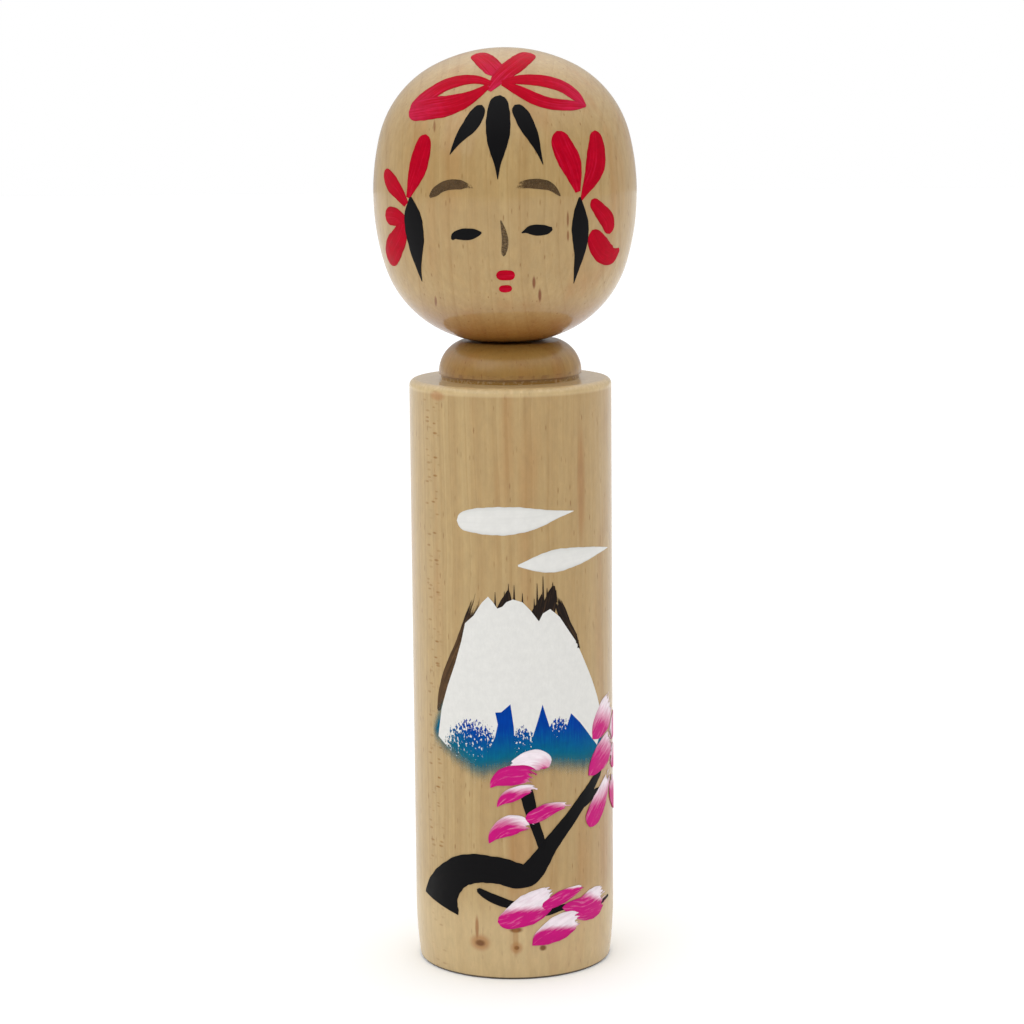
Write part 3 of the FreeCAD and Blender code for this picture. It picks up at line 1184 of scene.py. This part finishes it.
@dataclass
class Trunk:
    """The body and neck collar: varnished wood with clouds, a snowy peak and a branch."""

    node: str = "body"
    collar: str = "neck_collar"
    body: str = "trunk"
    # The socket's walls lie within this radius and under this height.
    bore_radius: float = 8.0
    bore_top: float = 200.0

    def __post_init__(self) -> None:
        """Reads the trunk's surface."""
        self.surface = TrunkSurface(self.node, 0.0, self.bore_radius, self.bore_top)

    def build(self) -> None:
        """Dresses the wood and paints the landscape."""
        wood = TurnedWood(
            "turned_maple_trunk",
            pith=(-33.5, 10.2),
            fleck_strength=1.0,
            marks=self.knots(),
            bands=(
                # Paler over the lowest 20 mm: painted bounce light from the pale floor.
                Band(0.0, 20.0, "#E6CFA0", 0.32),
                # A paler ring over the shoulder's rounded edge and top: painted light where it faces
                # up.
                Band(117.0, 1.4, "#E6CFA0", 0.4),
                # A thin dark line at the foot's rim: painted contact shadow.
                Band(0.1, 0.42, "#33241A", 0.9),
                # Pale specks along the shoulder's edge: beads of varnish, with their glints painted in
                # as colour.
                Band(116.9, 0.6, "#E8D2A4", 0.2, speck=0.9),
            ),
        )
        ring = TurnedWood(
            "turned_maple_collar",
            pith=(24.0, 60.0),
            pale="#B4914E",
            deep="#966C2E",
            polish=0.24,
            bands=(
                Band(118.9, 0.5, "#7C5220", 0.5, speck=1.4),
                # Pale specks at the collar's foot: beads of varnish in the joint, with their glints
                # painted in as colour.
                Band(117.8, 0.5, "#E8D2A4", 0.3, speck=0.9),
            ),
        )
        bpy.data.objects[self.node].material_slots[0].material = wood.material()
        bpy.data.objects[self.collar].material_slots[0].material = ring.material()
        painter = Painter(self.surface, self.body)
        self.paint_clouds(painter)
        self.paint_mountain(painter)
        self.paint_branch(painter)
        self.paint_blossom(painter)

    def knots(self) -> tuple[Mark, ...]:
        """The small knots near the foot, each in its stained wood, and two warm streaks."""
        places = [
            (-7.0, 7.5, 2.6, 2.2, 0.6, "#A05A04"),
            (-7.0, 7.4, 1.3, 0.9, 1.0, "#744400"),
            (-7.6, 10.6, 0.5, 3.0, 0.7, "#8E4E04"),
            (0.3, 10.4, 1.7, 0.8, 1.0, "#7C4A00"),
            (0.4, 6.7, 1.6, 1.6, 0.5, "#A05A04"),
            (0.4, 6.7, 0.7, 0.6, 1.0, "#744400"),
            (0.2, 8.6, 0.8, 5.0, 0.45, "#98600E"),
            (5.7, 6.4, 0.9, 0.8, 1.0, "#744400"),
            (15.0, 98.0, 1.0, 15.0, 0.42, "#985A18"),
            (-15.6, 115.6, 2.0, 1.2, 0.45, "#A86224"),
        ]
        return tuple(
            Mark(tuple(self.surface.point(across, up, 0) / MM), wide, high, strength, colour)
            for across, up, wide, high, strength, colour in places
        )

    def paint_clouds(self, painter: Painter) -> None:
        """Paints the two drifting clouds."""
        upper = pull(
            (-11.0, 91.7, 3.0), (-8.2, 91.8, 4.4), (-3.7, 91.9, 5.4), (0.7, 92.0, 5.3),
            (5.0, 92.3, 3.8), (8.8, 92.8, 1.8), (13.0, 93.2, 0.1),
        )
        lower = pull(
            (1.3, 83.2, 0.3), (4.6, 83.4, 2.8), (7.9, 83.7, 4.3), (11.5, 84.0, 4.1), (15.6, 84.3, 3.0),
            (19.5, 84.5, 1.6), (24.6, 84.4, 0.1), start=Tip.POINT,
        )
        painter.strokes("upper_cloud", [upper], WHITE)
        painter.strokes("lower_cloud", [lower], WHITE)

    def paint_mountain(self, painter: Painter) -> None:
        """Paints the peak: ridges first, then the blue foot, and the snow over both."""
        ridges = [
            pull(
                (-6.5, 78.2, 0.5), (-7.4, 75.2, 2.0), (-9.0, 71.2, 2.1), (-10.6, 67.5, 2.0),
                (-12.5, 63.8, 2.0), (-14.3, 59.9, 2.0), (-15.5, 56.5, 1.7), (-16.3, 53.2, 0.9),
                start=Tip.BRISTLES, end=Tip.ROUND, turn=0.3,
            ),
            pull(
                (8.7, 77.4, 0.7), (10.0, 74.0, 1.9), (11.4, 71.0, 1.7), (12.9, 68.6, 1.4),
                (14.4, 65.8, 0.2), start=Tip.BRISTLES,
            ),
            pull(
                (5.2, 70.6, 2.4), (5.0, 73.4, 2.6), (5.5, 75.6, 1.2), (5.9, 77.4, 0.1), start=Tip.CUT,
            ),
            pull(
                (6.6, 72.0, 2.6), (7.4, 74.6, 2.8), (8.1, 77.6, 1.7), (8.4, 78.9, 0.5), start=Tip.CUT,
            ),
            pull(
                (-2.0, 74.4, 2.0), (-1.2, 75.8, 2.2), (-0.7, 77.8, 0.9), (-0.6, 78.6, 0.1),
                start=Tip.CUT,
            ),
        ]
        # Single hairs of the stiff brush leave upright lines, half a millimetre wide at the
        # foot: across, foot and tip.
        for across, foot_height, tip_height in (
            (-3.2, 74.4, 78.0), (-1.4, 75.0, 78.2), (-0.6, 76.0, 79.7), (0.5, 75.8, 79.4),
            (2.1, 74.8, 77.8), (4.4, 73.4, 76.6), (5.0, 74.0, 79.6), (6.2, 75.0, 80.9),
            (7.0, 76.0, 78.6), (8.2, 76.6, 79.6), (8.9, 75.6, 78.0), (13.6, 67.0, 68.9),
            (14.0, 66.0, 67.6),
        ):
            ridges.append(pull((across, foot_height, 0.5), (across, tip_height, 0.05), start=Tip.CUT))
        foot = Patch(
            (
                (-17.0, 55.0), (-18.8, 50.0), (-17.8, 45.4), (-12.8, 42.0), (-7.2, 38.8), (-3.0, 39.6),
                (2.0, 40.6), (8.0, 40.4), (14.0, 39.2), (19.0, 39.0), (22.4, 43.0), (22.4, 50.0),
                (17.6, 56.0), (14.0, 63.0), (8.0, 69.0), (-8.0, 69.0), (-12.4, 60.0),
            ),
            fade=(1.8, 7.0),
        )
        snow = Patch(
            (
                (-16.4, 48.2), (-15.4, 53.8), (-13.7, 58.6), (-11.8, 63.3), (-10.3, 67.9),
                (-9.4, 71.6), (-7.6, 73.2), (-6.5, 74.9), (-5.8, 75.9), (-4.6, 77.1), (-3.6, 76.0),
                (-2.8, 74.8), (-1.8, 75.2), (-1.0, 76.1), (0.3, 76.6), (2.1, 76.0), (3.7, 74.3),
                (5.3, 72.1), (6.1, 73.6), (7.6, 74.4), (9.6, 72.7), (11.4, 70.1), (13.4, 67.4),
                (15.5, 63.4), (17.9, 58.9), (19.6, 55.3), (20.9, 51.8), (21.2, 48.6), (19.4, 45.6),
                (17.5, 47.5), (14.3, 51.1), (12.1, 53.2), (11.2, 51.0), (10.4, 49.2), (8.6, 48.8),
                (7.4, 50.8), (5.9, 55.6), (5.0, 52.6), (4.0, 49.6), (3.6, 46.4), (2.9, 43.6),
                (0.5, 43.4), (0.4, 47.4), (0.2, 51.4), (-0.4, 55.9), (-2.2, 54.3), (-3.4, 54.2),
                (-2.9, 51.8), (-3.5, 49.2), (-4.9, 46.2), (-7.4, 43.6), (-10.1, 43.8), (-13.0, 45.8),
            ),
            spots=(
                Spot(-8.3, 42.2, 9.4, 13.4, 1.7),
                Spot(2.0, 44.0, 4.6, 9.6, 1.7),
                Spot(9.4, 48.6, 4.2, 5.6, 1.4),
            ),
        )
        painter.strokes("mountain_ridges", ridges, UMBER)
        painter.patch("mountain_foot", foot, BLUE, layer=1)
        painter.patch("mountain_snow", snow, DRAGGED_WHITE, layer=2)

    def paint_branch(self, painter: Painter) -> None:
        """Paints the old branch, its twigs and the spray below it."""
        bough = pull(
            (-16.8, 13.9, 10.4), (-16.2, 16.0, 9.2), (-15.0, 18.1, 7.8), (-13.0, 20.3, 6.6),
            (-10.6, 21.8, 6.1), (-7.9, 22.5, 5.9), (-4.6, 22.6, 5.5), (-1.9, 22.2, 5.3),
            (0.6, 21.4, 5.2), (2.5, 21.5, 4.8), (4.1, 22.8, 4.5), (5.3, 24.4, 4.0), (6.8, 26.5, 3.5),
            (8.5, 28.6, 3.2), (10.5, 30.7, 2.9), (12.7, 32.9, 2.7), (14.8, 35.1, 2.6),
            (16.8, 36.9, 2.3), (18.5, 38.5, 2.0), (20.1, 39.8, 1.6), (21.2, 41.0, 1.0), start=Tip.CUT,
            end=Tip.ROUND,
        )
        twigs = [
            pull(
                (5.9, 26.4, 1.7), (5.3, 28.3, 1.8), (4.6, 30.5, 1.9), (3.9, 32.6, 2.1),
                (3.4, 34.5, 2.4), (3.0, 36.3, 2.6), (2.5, 38.4, 2.6), end=Tip.CUT,
            ),
            pull(
                (14.2, 34.2, 1.6), (15.5, 34.8, 2.0), (17.2, 35.6, 1.9), (19.0, 36.0, 1.6),
                (21.0, 36.5, 0.7),
            ),
        ]
        spray = pull(
            (-7.5, 18.4, 0.9), (-5.7, 17.4, 1.6), (-3.6, 16.5, 1.9), (-1.2, 15.7, 1.7),
            (2.1, 15.0, 1.4), (6.3, 13.8, 1.7), (9.4, 14.2, 1.2), (11.8, 14.4, 0.9), (16.2, 13.3, 0.6),
            (20.0, 13.0, 0.7), (24.2, 13.6, 0.4),
        )
        painter.strokes("bough", [bough], BLACK, layer=3)
        painter.strokes("twigs", twigs, BLACK, layer=3)
        painter.strokes("low_spray", [spray], BLACK, layer=3)

    def paint_blossom(self, painter: Painter) -> None:
        """Paints the petals, each one pull of a brush that is magenta with a white tip."""
        # Where white takes over along each petal, how much sooner on its left, and its stations.
        petals = {
            "petal_over_twig": (
                (
                    0.12, -0.2, (7.1, 43.0, 2.1), (6.2, 44.0, 3.5), (4.7, 44.6, 4.2), (2.7, 44.7, 3.3),
                    (0.6, 44.2, 1.8), (-1.3, 43.3, 0.4),
                ),
                (
                    1.1, -0.15, (-4.5, 39.1, 0.3), (-3.7, 40.2, 1.8), (-2.3, 41.1, 3.3),
                    (-0.6, 41.6, 3.9), (1.2, 41.8, 3.8), (3.0, 41.8, 3.3), (4.3, 41.1, 2.2),
                ),
                (
                    0.75, 0.42, (-3.2, 35.3, 0.2), (-2.5, 36.3, 1.3), (-1.2, 37.3, 2.5),
                    (0.4, 38.0, 2.7), (2.1, 38.7, 2.2), (3.6, 38.9, 1.5), (4.7, 38.6, 0.8),
                ),
            ),
            "petal_beside_twig": (
                (
                    0.75, 0.4, (-4.9, 27.9, 0.3), (-4.1, 29.3, 1.9), (-2.4, 30.8, 3.5),
                    (-0.7, 31.6, 4.1), (1.1, 31.9, 3.4), (2.6, 31.6, 2.1), (4.1, 31.1, 0.9),
                ),
                (
                    0.85, 0.3, (2.3, 33.0, 1.5), (3.5, 33.1, 2.5), (5.0, 33.6, 2.9), (6.6, 34.3, 2.8),
                    (8.2, 34.7, 2.2), (9.8, 34.9, 1.5), (12.0, 34.8, 0.6),
                ),
            ),
            "petal_on_the_right": (
                (
                    0.6, 0.2, (17.9, 47.0, 0.7), (19.1, 48.1, 3.6), (20.8, 49.6, 5.6),
                    (23.3, 51.3, 6.8), (26.2, 53.6, 4.6),
                ),
                (
                    0.8, 0.2, (16.6, 39.9, 0.5), (17.8, 40.8, 2.9), (19.6, 42.1, 4.8),
                    (21.9, 43.4, 6.0), (24.3, 44.6, 5.6), (26.6, 45.8, 3.6),
                ),
                (
                    0.62, 0.2, (16.8, 29.4, 2.6), (17.6, 30.8, 4.2), (19.4, 32.8, 5.0),
                    (21.6, 35.2, 4.4), (23.6, 37.6, 2.8), (24.8, 39.2, 1.2),
                ),
            ),
            "petal_round_the_side": (
                (0.8, -0.2, (33.6, 47.6, 0.8), (31.2, 48.0, 4.2), (28.4, 47.4, 4.8), (25.6, 46.0, 2.4)),
                (0.8, -0.2, (33.2, 39.6, 0.8), (30.8, 40.8, 4.2), (28.0, 41.6, 4.8), (25.6, 42.2, 2.4)),
                (0.8, -0.2, (29.8, 30.2, 0.8), (28.6, 32.6, 4.0), (27.2, 35.2, 4.6), (25.6, 37.6, 2.2)),
            ),
            "petal_on_the_spray": (
                (
                    0.52, 0.42, (-3.3, 12.0, 2.1), (-1.2, 12.5, 4.0), (0.9, 13.5, 5.5),
                    (3.4, 14.8, 6.2), (5.5, 16.0, 5.5), (7.6, 17.1, 3.6), (9.0, 17.5, 1.4),
                ),
                (
                    0.95, 0.35, (5.5, 14.9, 1.3), (7.2, 15.4, 2.2), (9.5, 16.3, 2.7), (11.9, 17.0, 2.2),
                    (13.9, 17.5, 1.3), (15.6, 17.6, 0.5),
                ),
                (
                    0.8, 0.35, (9.8, 14.2, 0.9), (11.8, 14.0, 2.6), (14.5, 13.3, 4.8),
                    (17.3, 13.5, 6.3), (20.0, 14.0, 5.5), (22.5, 14.3, 2.5),
                ),
                (
                    0.55, 0.4, (3.5, 7.1, 0.4), (4.8, 8.2, 2.9), (6.7, 9.2, 4.4), (9.0, 10.2, 5.2),
                    (11.4, 11.0, 4.7), (13.4, 11.3, 3.0), (14.6, 11.4, 1.2),
                ),
            ),
        }
        for name, pulls in petals.items():
            blend = 0.25 if name == "petal_on_the_spray" else 0.7
            for i, (turn, tilt, *stations) in enumerate(pulls, start=1):
                how = {"turn": turn, "tilt": tilt, "blend": blend, "dry": 0.25}
                petal = pull(*stations, end=Tip.BRISTLES, **how)
                painter.strokes(f"{name}_{i}", [petal], BLOSSOM, layer=4 + i)


@dataclass
class Peg:
    """The hidden dowel that the head turns on, in bare waxed wood."""

    node: str = "neck_peg"

    def build(self) -> None:
        """Dresses the peg."""
        wood = TurnedWood("waxed_peg_wood", pith=(18.0, 9.0), deep="#8C6A38", sheen=0.1)
        bpy.data.objects[self.node].material_slots[0].material = wood.material()


# ---------------------------------------------------------------------------------------
# Studio
# ---------------------------------------------------------------------------------------


@dataclass
class Studio:
    """A pale table in a light tent, and the camera.

    The tent's front wall, back wall and ceiling are brightnesses, and the edges are where
    one gives way to the next, as parts of a straight look backwards or upwards. The floor
    and the lamp are in metres and the lamp's power in watts. The camera's place and sensor
    are in millimetres and its angles in radians, and its focal width is the lens's length
    in the units that the frame's width is given in.
    """

    floor_size: float = 6.0
    camera_place: tuple[float, float, float] = (3.86, -577.9, 183.36)
    tilt_down: float = 0.1593
    heading: float = 0.0065
    roll: float = -0.009
    focal_width: float = 2938.4
    frame: int = 1024
    sensor: float = 36.0
    front_wall: float = 0.22
    back_wall: float = 0.62
    ceiling: float = 1.55
    wall_edges: tuple[float, float] = (-0.45, 0.6)
    rise_edges: tuple[float, float] = (0.2, 0.85)
    lamp_power: float = 2.4
    lamp_side: float = 0.9
    lamp_place: tuple[float, float, float] = (-0.9, -0.9, 1.0)
    lamp_target: tuple[float, float, float] = (0.0, 0.0, 0.08)
    card: str = "#FAFAF9"
    card_roughness: float = 0.8

    def build(self) -> None:
        """Adds the floor, light, surroundings and camera."""
        self.add_floor()
        self.add_lamp()
        self.add_surroundings()
        self.add_camera()

    def add_floor(self) -> None:
        """Adds the table: a broad sheet of pale card."""
        bpy.ops.object.select_all(action="DESELECT")
        bpy.ops.mesh.primitive_plane_add(size=self.floor_size)
        floor = bpy.context.object
        floor.name = "floor"
        material, tree = new_material("pale_card")
        surface = {"Base Color": linear(self.card), "Roughness": self.card_roughness}
        shader = add_node(tree, "BsdfPrincipled", surface)
        add_node(tree, "OutputMaterial", {"Surface": shader})
        floor.data.materials.append(material)

    def add_lamp(self) -> None:
        """Adds one square softbox, up on the viewer's left, that faces the doll."""
        light = bpy.data.lights.new("softbox", "AREA")
        light.size = self.lamp_side
        light.energy = self.lamp_power
        softbox = bpy.data.objects.new("softbox", light)
        bpy.context.scene.collection.objects.link(softbox)
        place = Vector(self.lamp_place)
        towards = Vector(self.lamp_target) - place
        turn = towards.to_track_quat("-Z", "Y").to_matrix().to_4x4()
        softbox.matrix_world = Matrix.Translation(place) @ turn

    def add_surroundings(self) -> None:
        """Makes the world a light tent: bright above and behind, dim where the camera stands."""
        world = bpy.data.worlds.new("light_tent")
        world.use_nodes = True
        tree = world.node_tree
        tree.nodes.clear()
        direction = add_node(tree, "TexCoord", out="Generated")
        _, behind, above = add_node(tree, "SeparateXYZ", [direction]).node.outputs
        wall = [behind, *self.wall_edges, self.front_wall, self.back_wall]
        walls = add_node(tree, "MapRange", wall, interpolation_type="SMOOTHSTEP")
        top = [above, *self.rise_edges]
        rise = add_node(tree, "MapRange", top, interpolation_type="SMOOTHSTEP")
        tent = add_node(tree, "Mix", {0: rise, 2: walls, 3: self.ceiling})
        seen = add_node(tree, "LightPath", out="Is Camera Ray")
        strength = add_node(tree, "Mix", {0: seen, 2: tent, 3: 1.0})
        light = add_node(tree, "Background", {"Color": (1.0, 1.0, 1.0, 1.0), "Strength": strength})
        add_node(tree, "OutputWorld", {"Surface": light})
        bpy.context.scene.world = world
        bpy.context.scene.view_settings.view_transform = "Standard"

    def add_camera(self) -> None:
        """Adds the camera, a little above the doll and far off."""
        data = bpy.data.cameras.new("camera")
        data.sensor_width = self.sensor
        data.lens = self.focal_width * self.sensor / self.frame
        data.clip_start = 0.01
        camera = bpy.data.objects.new("camera", data)
        bpy.context.scene.collection.objects.link(camera)
        camera.matrix_world = (
            Matrix.Translation(Vector(self.camera_place) * MM)
            @ Matrix.Rotation(self.heading, 4, "Z")
            @ Matrix.Rotation(math.pi / 2 - self.tilt_down, 4, "X")
            @ Matrix.Rotation(self.roll, 4, "Z")
        )
        bpy.context.scene.camera = camera


def main() -> None:
    """Builds the doll's looks round its frame."""
    logging.basicConfig(level=logging.INFO, format="%(message)s")
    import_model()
    for part in (Trunk(), Head(), Peg(), Studio()):
        part.build()
        LOG.info("%s is built", type(part).__name__)


if __name__ == "__main__":
    main()
